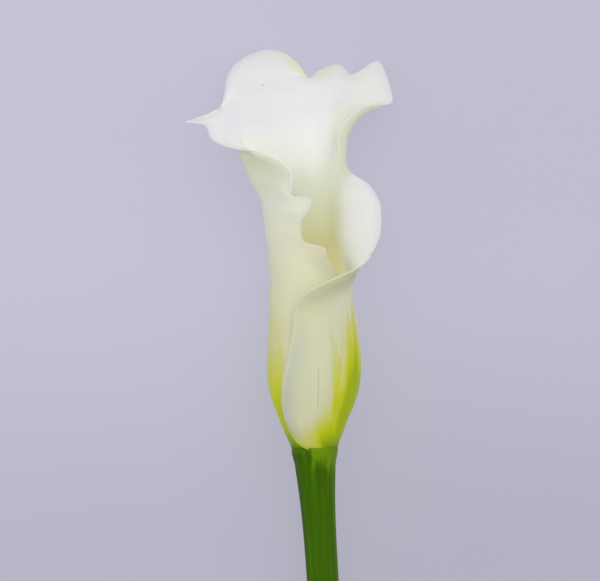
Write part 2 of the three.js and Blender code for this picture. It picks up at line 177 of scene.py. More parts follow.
def ease(share):
    """0 to 1 with a soft start and end."""
    share = np.clip(share, 0.0, 1.0)
    return share * share * (3.0 - 2.0 * share)


def natural_spline(knots, rows, places):
    """Values at the places of the natural cubic spline through the rows, one row for each knot."""
    knots = np.asarray(knots, float)
    rows = np.asarray(rows, float)
    places = np.asarray(places, float)
    flat = rows.reshape(len(knots), -1)
    gaps = np.diff(knots)
    slopes = np.diff(flat, axis=0) / gaps[:, None]
    system = np.eye(len(knots))
    right = np.zeros_like(flat)
    for i in range(1, len(knots) - 1):
        system[i, i - 1 : i + 2] = gaps[i - 1], 2.0 * (gaps[i - 1] + gaps[i]), gaps[i]
        right[i] = 6.0 * (slopes[i] - slopes[i - 1])
    bend = np.linalg.solve(system, right)
    left = np.clip(np.searchsorted(knots, places, side="right") - 1, 0, len(knots) - 2)
    gap = gaps[left][:, None]
    ahead = (knots[left + 1] - places)[:, None]
    behind = (places - knots[left])[:, None]
    values = (
        (bend[left] * ahead**3 + bend[left + 1] * behind**3) / (6.0 * gap)
        + (flat[left] / gap - bend[left] * gap / 6.0) * ahead
        + (flat[left + 1] / gap - bend[left + 1] * gap / 6.0) * behind
    )
    return values.reshape(places.shape + rows.shape[1:])


def in_frame(point):
    """A point of the flower's own millimetres, in the frame's metres."""
    return (Vector(point) + FOOT) * MM


def on_axis(middles, y):
    """The flower's middle at a height, its x from a table of heights and places."""
    return (float(natural_spline(*middles, [y])[0]), y, axis_height(y))


def select_only(piece):
    """Makes one object the only selected and active one."""
    bpy.ops.object.select_all(action="DESELECT")
    piece.select_set(True)
    bpy.context.view_layer.objects.active = piece


def settle(piece):
    """Puts a piece's place into its mesh, so that its object sits at the origin."""
    select_only(piece)
    bpy.ops.object.transform_apply(location=True, rotation=True, scale=True)
    bpy.ops.object.shade_smooth()


def draw_out(name, sides, stations):
    """A disc extruded from station to station: each is a point in millimetres and a radius."""
    here, radius_now = stations[0]
    bpy.ops.object.select_all(action="DESELECT")
    bpy.ops.mesh.primitive_circle_add(
        vertices=sides, radius=radius_now * MM, fill_type="NGON", location=in_frame(here),
        rotation=(math.pi / 2, 0, 0),
    )
    piece = bpy.context.object
    piece.name = name
    settle(piece)
    bpy.ops.object.mode_set(mode="EDIT")
    bpy.ops.mesh.select_mode(type="FACE")
    bpy.ops.mesh.select_all(action="SELECT")
    for there, radius in stations[1:]:
        step = (Vector(there) - Vector(here)) * MM
        bpy.ops.mesh.extrude_region_move(TRANSFORM_OT_translate={"value": step})
        grow = radius / radius_now
        bpy.ops.transform.resize(value=(grow, 1, grow), center_override=in_frame(there))
        here, radius_now = there, radius
    bpy.ops.mesh.select_all(action="SELECT")
    bpy.ops.mesh.normals_make_consistent(inside=False)
    bpy.ops.object.mode_set(mode="OBJECT")
    return piece


def store(mesh, name, values):
    """Keeps one number for each vertex as an attribute."""
    mesh.attributes.new(name, "FLOAT", "POINT").data.foreach_set("value", values)


def hand_over(piece, node):
    """Tells the frame what a finished piece rides on and stands for."""
    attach(piece, "root")
    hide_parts(node)


# ---- Leaf surface ----
def tube_ring(ring, across):
    """Points of one ring of the rolled tube, at the given shares of the leaf's width."""
    y, centre, radius, covered, covering, flare = ring
    turn = np.where(
        across < 0.5,
        covered + (BACK - covered) * 2.0 * across,
        BACK + (360.0 - BACK + covering) * (2.0 * across - 1.0),
    )
    angle = np.radians(turn)
    lift = flare * np.clip((across - FLARE_FROM) / (1.0 - FLARE_FROM), 0, 1) ** 2
    reach = radius + LAYER_STEP * (across - 0.5) + lift
    x, z = centre + reach * np.cos(angle), axis_height(y) + reach * np.sin(angle)
    return np.stack([x, np.full_like(x, y), z], axis=1)


def leaf_rings(across):
    """Points of every control ring, foot to apex, at the given shares of the leaf's width."""
    tube = [tube_ring(ring, across) for ring in TUBE_RINGS]
    mouth = [natural_spline(ACROSS, ring, across) for ring in MOUTH_RINGS]
    return np.array(tube + mouth)


def leaf_points(across, along):
    """Middle of the leaf's wall on a grid of shares, rows along the leaf first.

    The control rings stand along the leaf at the mean distance from ring to ring.
    """
    rings = leaf_rings(np.linspace(0.0, 1.0, 101))
    steps = np.linalg.norm(np.diff(rings, axis=0), axis=2).mean(axis=1)
    knots = np.concatenate([[0.0], np.cumsum(steps)])
    return natural_spline(knots, leaf_rings(across), along * knots[-1])


# ---- Node helpers ----
def paint(red, green, blue):
    """A display colour, 0 to 255, as the shader's linear colour."""
    linear = []
    for value in (red, green, blue):
        share = value / 255.0
        linear.append(share / 12.92 if share <= 0.04045 else ((share + 0.055) / 1.055) ** 2.4)
    return (*linear, 1.0)


def fill(tree, node, values):
    """Links a node's inputs to other nodes, or sets them."""
    for key, value in values.items():
        if isinstance(value, bpy.types.NodeSocket):
            tree.links.new(value, node.inputs[key])
        else:
            node.inputs[key].default_value = value


def add_node(tree, kind, values, **settings):
    """Adds a node with its settings and inputs."""
    made = tree.nodes.new(kind)
    for name, value in settings.items():
        setattr(made, name, value)
    fill(tree, made, values)
    return made


def sum_of(tree, operation, first, second=0.0, third=0.0):
    """One step of arithmetic."""
    values = {0: first, 1: second, 2: third}
    return add_node(tree, "ShaderNodeMath", values, operation=operation).outputs[0]


def scaled(tree, value, factor, more):
    """A number times a factor, and more added to it."""
    return sum_of(tree, "MULTIPLY_ADD", value, factor, more)


def product(tree, first, *others):
    """Numbers multiplied together."""
    for other in others:
        first = sum_of(tree, "MULTIPLY", first, other)
    return first


def off_from(tree, value, middle):
    """How far a number is from a middle, either way."""
    return sum_of(tree, "ABSOLUTE", sum_of(tree, "SUBTRACT", value, middle))


def spread(tree, value, low, high, top=1.0, kind="SMOOTHSTEP"):
    """Carries a value from between low and high to between 0 and top, clamped."""
    values = {"Value": value, "From Min": low, "From Max": high, "To Max": top}
    return add_node(tree, "ShaderNodeMapRange", values, interpolation_type=kind).outputs["Result"]


def within(tree, *limits):
    """1 where every value is past its two limits: nothing at the first, full at the second."""
    return product(tree, *(spread(tree, value, *pair) for value, pair in limits))


def blend(tree, share, first, second, mode="MIX"):
    """Mixes two colours."""
    values = {0: share, 6: first, 7: second}
    return add_node(tree, "ShaderNodeMix", values, data_type="RGBA", blend_type=mode).outputs[2]


def ramp(tree, value, stops, low=0.0, high=1.0):
    """Colour by a value: stops are places on the value's own scale, each with a display colour."""
    share = spread(tree, value, low, high, kind="LINEAR")
    made = add_node(tree, "ShaderNodeValToRGB", {"Fac": share})
    points = made.color_ramp.elements
    for i, (place, *colour) in enumerate(stops):
        place = (place - low) / (high - low)
        point = points[i] if i < 2 else points.new(place)
        point.position = place
        point.color = paint(*colour)
    return made.outputs["Color"]


def profile(tree, value, stops, top):
    """A number by a share from 0 to 1, eased from stop to stop; no number is larger than top."""
    made = add_node(tree, "ShaderNodeFloatCurve", {"Value": value})
    curve = made.mapping.curves[0]
    made.mapping.extend = "HORIZONTAL"
    for i, (place, number) in enumerate(stops):
        if i < 2:
            point = curve.points[i]
            point.location = (place, number / top)
        else:
            point = curve.points.new(place, number / top)
        point.handle_type = "AUTO_CLAMPED"
    made.mapping.update()
    return product(tree, made.outputs["Value"], top)


def split(tree, vector):
    """The three numbers of a vector."""
    return add_node(tree, "ShaderNodeSeparateXYZ", {"Vector": vector}).outputs


def grain(tree, vector, scale, detail=2.0, rough=0.5):
    """Noise from 0 to 1."""
    values = {"Vector": vector, "Scale": scale, "Detail": detail, "Roughness": rough}
    return add_node(tree, "ShaderNodeTexNoise", values).outputs["Fac"]


def bundle(tree, x, y, z=0.0):
    """Three numbers as one vector."""
    return add_node(tree, "ShaderNodeCombineXYZ", {"X": x, "Y": y, "Z": z}).outputs["Vector"]


def long_veins():
    """Node group: fine lines along a leaf or stem, as a tone and as a ridge.

    Section is the place across the length and Along the place on it, in mm; Spacing is the
    distance between two lines and Stretch the length over which a line changes.
    """
    group = bpy.data.node_groups.new("long veins", "ShaderNodeTree")
    face = group.interface
    face.new_socket("Section", in_out="INPUT", socket_type="NodeSocketVector")
    for name in ("Along", "Spacing", "Stretch"):
        face.new_socket(name, in_out="INPUT", socket_type="NodeSocketFloat")
    for name in ("Tone", "Ridge"):
        face.new_socket(name, in_out="OUTPUT", socket_type="NodeSocketFloat")
    given = group.nodes.new("NodeGroupInput").outputs
    pitch = sum_of(group, "DIVIDE", 1.0, given["Spacing"])
    values = {"Vector": given["Section"], "Scale": pitch}
    section = add_node(group, "ShaderNodeVectorMath", values, operation="SCALE").outputs[0]
    length = bundle(group, 0.0, 0.0, sum_of(group, "DIVIDE", given["Along"], given["Stretch"]))
    values = {0: section, 1: length}
    place = add_node(group, "ShaderNodeVectorMath", values, operation="ADD").outputs[0]
    coarse = grain(group, place, 0.4, 3.0, 0.6)
    fine = grain(group, place, 1.0)
    tone = spread(group, coarse, 0.3, 0.7, kind="LINEAR")
    ridge = scaled(group, fine, 0.6, product(group, coarse, 0.4))
    add_node(group, "NodeGroupOutput", {"Tone": tone, "Ridge": ridge})
    return group


def veins(tree, section, along, spacing, stretch):
    """Places the veins in a material: returns the tone and the ridge."""
    group = bpy.data.node_groups.get("long veins") or long_veins()
    values = {"Section": section, "Along": along, "Spacing": spacing, "Stretch": stretch}
    return add_node(tree, "ShaderNodeGroup", values, node_tree=group).outputs


def new_material(name):
    """An empty node material with its shader and output: returns material, tree and shader."""
    material = bpy.data.materials.new(name)
    material.use_nodes = True
    tree = material.node_tree
    tree.nodes.clear()
    shader = tree.nodes.new("ShaderNodeBsdfPrincipled")
    add_node(tree, "ShaderNodeOutputMaterial", {"Surface": shader.outputs["BSDF"]})
    return material, tree, shader


def relief(tree, height, depth_mm):
    """Normal of a bump, depth_mm deep where the height goes from 0 to 1."""
    values = {"Height": height, "Distance": depth_mm * MM}
    return add_node(tree, "ShaderNodeBump", values).outputs["Normal"]


def own_place(tree):
    """The object's own coordinates."""
    return add_node(tree, "ShaderNodeTexCoord", {}).outputs["Object"]


def millimetres(tree, metres, start=0.0):
    """A length in metres as millimetres from a start."""
    return scaled(tree, metres, 1.0 / MM, -start)


def attribute(tree, name):
    """A number stored on the mesh."""
    return add_node(tree, "ShaderNodeAttribute", {}, attribute_name=name).outputs["Fac"]


# ---- Materials ----
# Where a pair of places is given, the first is where a shade has faded out and the second is
# where it is full. Places across the leaf are shares of its width, heights are mm above its foot.
# Green streaks up the outside of the spathe: middle and half width across the leaf, how far the
# middle moves with each mm of height, the two heights, and how green a streak is.
STREAKS = (
    (0.5, 0.28, 0, 40, 16, 0.68),
    (0.776, 0.05, 0.0009, 43, 22, 0.71),
    (0.715, 0.055, 0, 40, 22, 0.71),
    (0.836, 0.019, 0.0026, 39, 15, 0.44),
    (0.24, 0.046, 0, 39, 12, 0.56),
    (0.8, 0.085, 0, 48, 32, 0.13),
    (0.27, 0.09, 0, 60, 36, 0.13),
)
STREAK_HEIGHT = 20.0  # height at which the middles are given
STREAK_SIDE = (1.3, 0.35)  # half widths from the middle
# In tables by height, share or depth, the first two rows are the two ends.
# Green foot, by the share of the leaf's width: its height in mm and how green it is.
FOOT_HEIGHT = (
    (0, 30), (1, 15), (0.35, 32), (0.6, 28), (0.74, 26), (0.8, 24), (0.84, 21), (0.857, 18),
    (0.87, 15.5), (0.89, 14), (0.92, 12.5), (0.97, 12.5),
)
FOOT_STRENGTH = (
    (0, 1), (1, 0.6), (0.35, 1.02), (0.6, 1.02), (0.8, 1), (0.865, 0.98), (0.88, 0.74), (0.9, 0.52),
    (0.92, 0.42), (0.95, 0.34), (0.97, 0.36),
)
FOOT_HEIGHT_TOP, FOOT_STRENGTH_TOP = 34.0, 1.2  # larger than any number in the tables
# Darker band of the foot next to the stem: heights, depth, and where it ends across the leaf.
BASE_HEIGHTS, BASE_GREEN, BASE_SIDE = (3.2, 0.8), 0.86, (0.91, 0.875)
# Painted shade of a crease down the flap, a darker green line: place at STREAK_HEIGHT, lean for
# each mm and distances beside its line, then the height of its middle and distances above and
# below it.
CREASE, CREASE_LEAN, CREASE_SIDE = 0.896, 0.0022, (0.0022, 0.0008)
CREASE_HEIGHT, CREASE_REACH = 19.0, (8.0, 4.0)
# Shade under the rim of the flap: heights that fall with the rim, LEAF_WIDTH mm for the whole
# width, then plain heights and places across.
LEAF_WIDTH = 80.0
UNDER_RIM, UNDER_TOP, UNDER_SIDE = (31.0, 47.0), (70.0, 55.0), (0.78, 0.84)
# White margin of the near lip seen from outside; white flap and green-white apex of the inside.
MARGIN_SIDE, MARGIN_HEIGHTS = (0.02, 0.008), (76.0, 82.0)
FLAP_SIDE, APEX_ALONG, APEX_STRENGTH = (0.6, 0.82), (0.92, 1.0), 0.7
# Painted glow: an emission that stands in for daylight coming through the leaf, by the share of
# the height of the crest.
CREST = 108.0
PAINTED_GLOW_BY_HEIGHT = (
    (0, 0), (1, 1), (0.43, 0), (0.47, 0.65), (0.54, 0.42), (0.62, 0.08), (0.72, 0.03), (0.77, 0.3),
    (0.83, 0.85), (0.89, 1),
)
# The painted glow stops at its pair of places across the leaf, shifted further in at the throat.
GLOW_SIDE, GLOW_INWARD, GLOW_HEIGHTS = (0.66, 0.5), 0.22, (84.0, 62.0)
# Painted glow along the crest of the lip: heights below and above it, places across, strength.
CREST_LOW, CREST_HIGH, CREST_SIDE, CREST_STRENGTH = (97.0, 103.0), (110.0, 106.0), (0.72, 0.5), 0.13
# Display colours: cream outside by height, green by its depth, and the inside by height.
# The cream is the leaf's own colour, darker from 60 mm up with painted shade under the near lip.
CREAM_BY_HEIGHT = (
    (0, 249, 248, 192), (108, 230, 234, 224), (24, 249, 248, 194), (40, 243, 242, 198),
    (60, 229, 229, 207), (74, 226, 229, 219), (86, 212, 215, 210),
)
GREEN_BY_DEPTH = (
    (0, 232, 231, 190), (1, 82, 120, 0), (0.1, 229, 228, 168), (0.2, 226, 225, 126),
    (0.35, 216, 221, 66), (0.5, 202, 212, 14), (0.65, 180, 198, 0), (0.8, 150, 180, 0),
    (0.92, 122, 158, 0),
)
THROAT_BY_HEIGHT = (
    (0, 222, 218, 130), (108, 249, 255, 236), (54, 229, 226, 182), (62, 226, 223, 186),
    (74, 234, 236, 214), (86, 244, 250, 231), (94, 250, 255, 242),
)
# Painted shade on the outer and on the inner face, where the leaf lies in shadow: places across
# on the one side and on the other, heights at the lower and at the upper end, strength and colour.
OUTER_PAINTED_SHADE = (
    ((0.86, 0.92), (1.2, 1.1), (78, 86), (110, 104), 0.6, paint(214, 216, 196)),
    ((-0.2, -0.1), (0.34, 0.2), (72, 87), (120, 110), 0.55, paint(196, 198, 186)),
    ((-0.2, -0.1), (0.12, 0.02), (48, 55), (70, 61), 0.8, paint(208, 207, 184)),
)
INNER_PAINTED_SHADE = (
    ((0.58, 0.68), (0.9, 0.78), (86, 93), (107, 101), 0.7, paint(226, 228, 210)),
    ((-0.2, -0.1), (0.12, 0.0), (86, 91), (103, 99), 0.6, paint(224, 224, 218)),
)
# Marks on the inner face: mm from the foot to the right and up, radius, strength and colour.
BROWN, LIME = paint(150, 134, 112), paint(226, 238, 96)
MARKS = (
    (-15.8, 110.2, 0.4, 0.5, BROWN), (-12.2, 121.1, 0.35, 0.5, BROWN), (17.2, 58.5, 1.3, 0.6, BROWN),
    (-6.9, 117.3, 2.6, 0.22, LIME), (-3.6, 114.9, 1.8, 0.42, LIME),
)
# Stem: how far its streaks slant for each mm, and the x of the pale part of the shoulder and of the
# painted olive sheen on the right edge, both at the foot. The shoulder's heights, and its pale top.
STEM_SLANT = 0.053
SHOULDER_SIDE = (FOOT.x - 1.0, FOOT.x - 0.3)
STEM_EDGE_SHEEN = (FOOT.x + 4.4, FOOT.x + 5.4)
SHOULDER_HEIGHTS, SHOULDER_TOP = (-7.6, -2.4), (-1.8, 0.0)


def side_streaks(tree, across, height):
    """How green the streaks of the outside are."""
    greenest = 0.0
    for middle, half, lean, faded, full, strength in STREAKS:
        centre = scaled(tree, height, lean, middle - lean * STREAK_HEIGHT)
        side = spread(tree, off_from(tree, across, centre), *(half * end for end in STREAK_SIDE))
        grown = spread(tree, height, faded, full, strength, kind="LINEAR")
        greenest = sum_of(tree, "MAXIMUM", greenest, product(tree, side, grown))
    return greenest


def painted_shades(tree, colour, across, height, places):
    """Lays faint painted shade over a colour, each patch within its own part of the leaf."""
    for one_side, other_side, low, high, strength, tint in places:
        share = within(tree, (across, one_side), (across, other_side), (height, low), (height, high))
        colour = blend(tree, product(tree, share, strength), colour, tint)
    return colour


def grey(tree, value):
    """A number as a grey colour."""
    return bundle(tree, value, value, value)


def spathe_material(settings):
    """Satin white leaf that turns yellow-green and then green towards its foot."""
    material, tree, shader = new_material("spathe leaf")
    uv = add_node(tree, "ShaderNodeUVMap", {}, uv_map="UVMap").outputs["UV"]
    across, along = split(tree, uv)[:2]
    place = own_place(tree)
    x, y = split(tree, place)[:2]
    height = millimetres(tree, y, FOOT.y)
    inside = attribute(tree, "inside")
    section = bundle(tree, product(tree, across, LEAF_WIDTH), 0.0)
    tone, ridge = veins(tree, section, height, spacing=1.1, stretch=45.0)

    # outside: cream above, green streaks and a green foot, drawn out along the veins
    ragged = scaled(tree, tone, settings.streaks, -0.5 * settings.streaks)
    streak = side_streaks(tree, across, sum_of(tree, "SUBTRACT", height, ragged))
    ragged = scaled(tree, tone, -0.16, 1.08)
    rise = sum_of(tree, "DIVIDE", height, profile(tree, across, FOOT_HEIGHT, FOOT_HEIGHT_TOP))
    foot = spread(tree, product(tree, rise, ragged), 1.0, 0.0, kind="LINEAR")
    foot = sum_of(tree, "POWER", foot, 2.0)
    foot = product(tree, foot, profile(tree, across, FOOT_STRENGTH, FOOT_STRENGTH_TOP))
    depth = sum_of(tree, "SMOOTH_MAX", streak, foot, 0.12)
    base = within(tree, (height, BASE_HEIGHTS), (across, BASE_SIDE))
    depth = sum_of(tree, "MAXIMUM", depth, product(tree, base, BASE_GREEN))
    cream = ramp(tree, height, CREAM_BY_HEIGHT, 0, CREST)
    # painted shade under the rim of the flap
    past_rim = scaled(tree, sum_of(tree, "SUBTRACT", across, 1.0), LEAF_WIDTH, height)
    under = within(tree, (past_rim, UNDER_RIM), (height, UNDER_TOP), (across, UNDER_SIDE))
    cream = blend(tree, under, cream, paint(184, 184, 166))
    # painted shade where the outside lies in shadow: waist band, under the lip, by the covered margin
    cream = painted_shades(tree, cream, across, height, OUTER_PAINTED_SHADE)
    green = ramp(tree, depth, GREEN_BY_DEPTH)
    outer = blend(tree, spread(tree, depth, 0.0, 0.14), cream, green)
    upright = scaled(tree, sum_of(tree, "SUBTRACT", STREAK_HEIGHT, height), CREASE_LEAN, across)
    beside, above = off_from(tree, upright, CREASE), off_from(tree, height, CREASE_HEIGHT)
    # painted shade of the crease, a darker green line
    crease_shade = within(tree, (beside, CREASE_SIDE), (above, CREASE_REACH))
    outer = blend(tree, product(tree, crease_shade, 0.5), outer, paint(190, 200, 120))
    margin = within(tree, (across, MARGIN_SIDE), (height, MARGIN_HEIGHTS))
    outer = blend(tree, margin, outer, paint(240, 246, 232))

    # inside: white lip and flap, yellow-green down the throat
    throat = ramp(tree, height, THROAT_BY_HEIGHT, 0, CREST)
    flap = spread(tree, across, *FLAP_SIDE)
    inner = blend(tree, flap, throat, paint(*settings.white_display))
    # painted shade where the inside lies in shadow: at the neck and at the left tip
    inner = painted_shades(tree, inner, across, height, INNER_PAINTED_SHADE)
    apex = spread(tree, along, *APEX_ALONG, APEX_STRENGTH)
    inner = blend(tree, apex, inner, paint(226, 236, 190))
    spot = bundle(tree, millimetres(tree, x, FOOT.x), height)
    for right, up, radius, strength, mark_colour in MARKS:
        values = {0: spot, 1: (right, up, 0.0)}
        away = add_node(tree, "ShaderNodeVectorMath", values, operation="DISTANCE").outputs["Value"]
        mark = spread(tree, away, radius, 0.2 * radius, strength)
        inner = blend(tree, mark, inner, mark_colour)

    colour = blend(tree, inside, outer, inner)
    colour = blend(tree, product(tree, tone, 0.05), colour, paint(211, 216, 174), "MULTIPLY")

    # painted glow, for daylight through the leaf where the leaf hides the sky, and along the crest
    through = profile(tree, sum_of(tree, "DIVIDE", height, CREST), PAINTED_GLOW_BY_HEIGHT, 1.0)
    inward = spread(tree, height, *GLOW_HEIGHTS, GLOW_INWARD)
    inward = sum_of(tree, "SUBTRACT", across, inward)
    through = product(tree, through, spread(tree, inward, *GLOW_SIDE))
    crest = within(tree, (height, CREST_LOW), (height, CREST_HIGH), (across, CREST_SIDE))
    crest = product(tree, crest, CREST_STRENGTH, inside)
    through = scaled(tree, through, attribute(tree, "sheltered"), crest)
    patch = grain(tree, place, 60.0)
    fill(tree, shader, {
        "Base Color": colour,
        "Emission Color": blend(tree, 1.0, colour, grey(tree, through), "MULTIPLY"),
        "Emission Strength": settings.through,
        "Roughness": scaled(tree, patch, 0.14, settings.roughness - 0.07),
        "Normal": relief(tree, ridge, 0.05),
        "Subsurface Weight": settings.softness,
        "Subsurface Radius": (1.0, 0.92, 0.6),
        "Subsurface Scale": 4.0 * MM,
        "Specular IOR Level": 0.15,
    })
    return material


def stem_material(settings):
    """Glossy green skin with darker and browner lengthwise streaks."""
    material, tree, shader = new_material("stem skin")
    x, y, z = split(tree, own_place(tree))
    height = millimetres(tree, y, FOOT.y)
    side = millimetres(tree, scaled(tree, y, STEM_SLANT, x))
    rise = millimetres(tree, scaled(tree, y, -LEAN, z))
    section = bundle(tree, side, rise)
    tone, ridge = veins(tree, section, height, spacing=0.9, stretch=60.0)
    patch = grain(tree, section, 0.25)
    green = blend(tree, tone, paint(47, 91, 0), paint(72, 115, 6))
    green = blend(tree, spread(tree, patch, 0.5, 0.75, 0.5), green, paint(74, 92, 13))
    # the shoulder under the spathe is paler on its right, and fades downwards along the veins
    ragged = scaled(tree, tone, 5.0, -2.5)
    fade = spread(tree, sum_of(tree, "ADD", height, ragged), *SHOULDER_HEIGHTS)
    right = spread(tree, side, *SHOULDER_SIDE, 0.8)
    right = sum_of(tree, "MAXIMUM", right, spread(tree, height, *SHOULDER_TOP, 0.3))
    green = blend(tree, product(tree, fade, right), green, paint(118, 156, 6))
    # painted olive sheen along the right edge
    green = blend(tree, spread(tree, side, *STEM_EDGE_SHEEN, 0.4), green, paint(112, 132, 36))
    fill(tree, shader, {
        "Base Color": green,
        "Roughness": scaled(tree, tone, 0.12, settings.roughness - 0.06),
        "Normal": relief(tree, ridge, 0.12),
        "Specular IOR Level": 0.05,
    })
    return material


def cut_material():
    """Wet cut end: pale pith with the darker dots of the vessels."""
    material, tree, shader = new_material("stem cut")
    values = {"Vector": own_place(tree), "Scale": 1400.0, "Randomness": 0.8}
    cells = add_node(tree, "ShaderNodeTexVoronoi", values).outputs["Distance"]
    dot = spread(tree, cells, 0.12, 0.3)
    fill(tree, shader, {
        "Base Color": blend(tree, dot, paint(127, 159, 64), paint(207, 220, 148)),
        "Roughness": 0.38,
        "Normal": relief(tree, cells, 0.15),
    })
    return material


def spadix_material():
    """Dry yellow pollen over the florets."""
    material, tree, shader = new_material("spadix pollen")
    place = own_place(tree)
    height = millimetres(tree, split(tree, place)["Y"], FOOT.y)
    dust = grain(tree, place, 2600.0, 3.0)
    colour = blend(tree, spread(tree, dust, 0.35, 0.65), paint(226, 169, 26), paint(253, 213, 70))
    fill(tree, shader, {
        "Base Color": blend(tree, spread(tree, height, 16.0, 6.0), colour, paint(217, 207, 102)),
        "Roughness": 0.85,
        "Normal": relief(tree, dust, 0.12),
    })
    return material


def floor_material(settings):
    """Matt pale paper, a very faint mottle and a little painted shade towards the near and right edges."""
    material, tree, shader = new_material("pale surface")
    place = own_place(tree)
    x, y = split(tree, place)[:2]
    mottle = grain(tree, place, 14.0, 4.0)
    light = scaled(tree, mottle, 0.03, 0.985)
    # painted shade: darker towards the near edge and towards the right
    light = sum_of(tree, "SUBTRACT", light, spread(tree, y, 0.07, -0.03, 0.13))
    light = sum_of(tree, "SUBTRACT", light, spread(tree, x, -0.04, 0.06, 0.05))
    colour = blend(tree, 1.0, (*settings.floor_colour, 1.0), grey(tree, light), "MULTIPLY")
    fill(tree, shader, {
        "Base Color": colour,
        "Emission Color": colour,
        "Emission Strength": settings.glow,
        "Roughness": 0.9,
        "Specular IOR Level": 0.1,
    })
    return material


# ---- Settings ----
class SpatheSettings(PropertyGroup):
    columns: IntProperty(
        name="Columns", description="Faces across the leaf", default=160, min=40, max=240
    )
    rows: IntProperty(
        name="Rows", description="Faces along the leaf", default=220, min=40, max=240
    )
    wall: FloatProperty(
        name="Wall", description="Thickness of the leaf", default=1.1 * MM, min=0.0006, max=0.0014,
        subtype="DISTANCE", unit="LENGTH",
    )
    margin: FloatProperty(
        name="Margin", description="Thickness of the leaf at its margins", default=0.5 * MM,
        min=0.0002, max=0.001, subtype="DISTANCE", unit="LENGTH",
    )
    streaks: FloatProperty(
        name="Streaks", description="Millimetres by which the green runs up along the veins",
        default=8.0, min=0.0, max=20.0,
    )
    roughness: FloatProperty(
        name="Roughness", description="Satin of the leaf", default=0.48, min=0.0, max=1.0,
        subtype="FACTOR",
    )
    softness: FloatProperty(
        name="Softness", description="Share of the light that passes under the skin", default=1.0,
        min=0.0, max=1.0, subtype="FACTOR",
    )
    # strength of the painted glow: an emission that stands in for daylight through the leaf
    through: FloatProperty(
        name="Shine-through", default=0.33, min=0.0, max=1.0,
        description="Daylight that comes through the leaf where the leaf itself hides the sky",
    )
    white_display: FloatVectorProperty(
        name="White", description="Display colour of the lip, 0 to 255", default=(246, 252, 232),
        min=0.0, max=255.0,
    )


class StemSettings(PropertyGroup):
    sides: IntProperty(
        name="Sides", description="Faces round the stem", default=96, min=24, max=192
    )
    roughness: FloatProperty(
        name="Roughness", description="Gloss of the stem's skin", default=0.42, min=0.0, max=1.0,
        subtype="FACTOR",
    )


class SpadixSettings(PropertyGroup):
    florets: IntProperty(
        name="Florets", description="Small flowers on the spadix", default=1000, min=200, max=1500
    )
    floret: FloatProperty(
        name="Floret", description="Radius of one small flower", default=0.75 * MM, min=0.0003,
        max=0.001, subtype="DISTANCE", unit="LENGTH",
    )


class StageSettings(PropertyGroup):
    floor_colour: FloatVectorProperty(
        name="Surface", description="Colour of the surface under the flower",
        default=paint(112, 111, 122)[:3], subtype="COLOR", min=0.0, max=1.0,
    )
    glow: FloatProperty(
        name="Glow", description="Light from the surface itself, which keeps the shadows faint",
        default=2.5, min=0.0, max=4.0,
    )
    key_power: FloatProperty(
        name="Key light", description="Power of the large soft light", default=6.5, min=0.0,
        max=500.0, subtype="POWER", unit="POWER",
    )
    fill: FloatProperty(
        name="Fill", description="Strength of the light from all round", default=0.66, min=0.0,
        max=2.0,
    )
    distance: FloatProperty(
        name="Camera distance", description="Height of the camera above the flower",
        default=1.2, min=0.5, max=5.0, subtype="DISTANCE", unit="LENGTH",
    )


# ---- Pieces ----
class CALLA_OT_stem(Operator):
    """Cut green stem with the shoulder that carries the spathe"""

    bl_idname = "calla.stem"
    bl_label = "Stem"

    def execute(self, context):
        settings = context.scene.calla_stem
        low = CUT_BEVEL - STEM_LENGTH
        heights = np.concatenate([np.linspace(low, -30, 28), np.linspace(-27, -1.5, 18), [-0.4]])
        middles = [on_axis(STEM_BEND, y) for y in heights]
        stations = list(zip(middles, natural_spline(*STEM_GIRTH, heights)))
        x, _, z = middles[0]
        cut = ((x, -STEM_LENGTH, z), STEM_RADIUS - CUT_INSET)
        x = middles[-1][0]
        top = [((x, y, axis_height(y)), radius) for y, radius in SHOULDER + KNOB]
        stem = draw_out("stem_skin", settings.sides, [cut, *stations, *top])
        self.grow(stem)
        stem.data.materials.append(stem_material(settings))
        stem.data.materials.append(cut_material())
        for face in stem.data.polygons:
            if face.normal.y < -0.9 and face.center.y < in_frame((0, 0.5 - STEM_LENGTH, 0)).y:
                face.material_index = 1
        hand_over(stem, "stem")
        return {"FINISHED"}

    def grow(self, stem):
        """Shallow ribs and a slow waver, and a shoulder that takes up the foot of the spathe."""
        middle, radius, covered, covering = TUBE_RINGS[0][1:5]
        for vertex in stem.data.vertices:
            y = vertex.co.y / MM - FOOT.y
            bend = float(natural_spline(*STEM_BEND, [min(y, STEM_BEND[0][-1])])[0])
            off = vertex.co - in_frame((bend, y, axis_height(y)))
            off.y = 0.0
            angle = math.atan2(off.z, off.x)
            rib = 0.006 * math.sin(11 * angle + 0.02 * y) + 0.005 * math.sin(7 * angle - 0.03 * y)
            slow = 0.008 * math.sin(0.07 * y + 2 * angle)
            reach = off.length / MM * (1 + rib + slow)
            turn = math.degrees(angle) % 360.0
            if covering < turn < BACK:
                across = 0.5 * (turn - covered) / (BACK - covered)
            else:
                across = 0.5 + 0.5 * ((turn - BACK) % 360.0) / (360.0 - BACK + covering)
            share = float(ease((y + SHOULDER_LENGTH) / SHOULDER_LENGTH))
            # the skin takes up the leaf's outline, the flat top keeps its edge, the knob stays
            if reach > KNOB[0][1] + 0.2:
                leaf = radius + LAYER_STEP * (across - 0.5) + SHOULDER_REACH
                if y > -0.1:
                    leaf -= FOOT_RADIUS - off.length / MM
                reach += (leaf - reach) * share
            vertex.co += off.normalized() * (reach * MM - off.length)
            vertex.co.x += (middle - bend) * MM * share


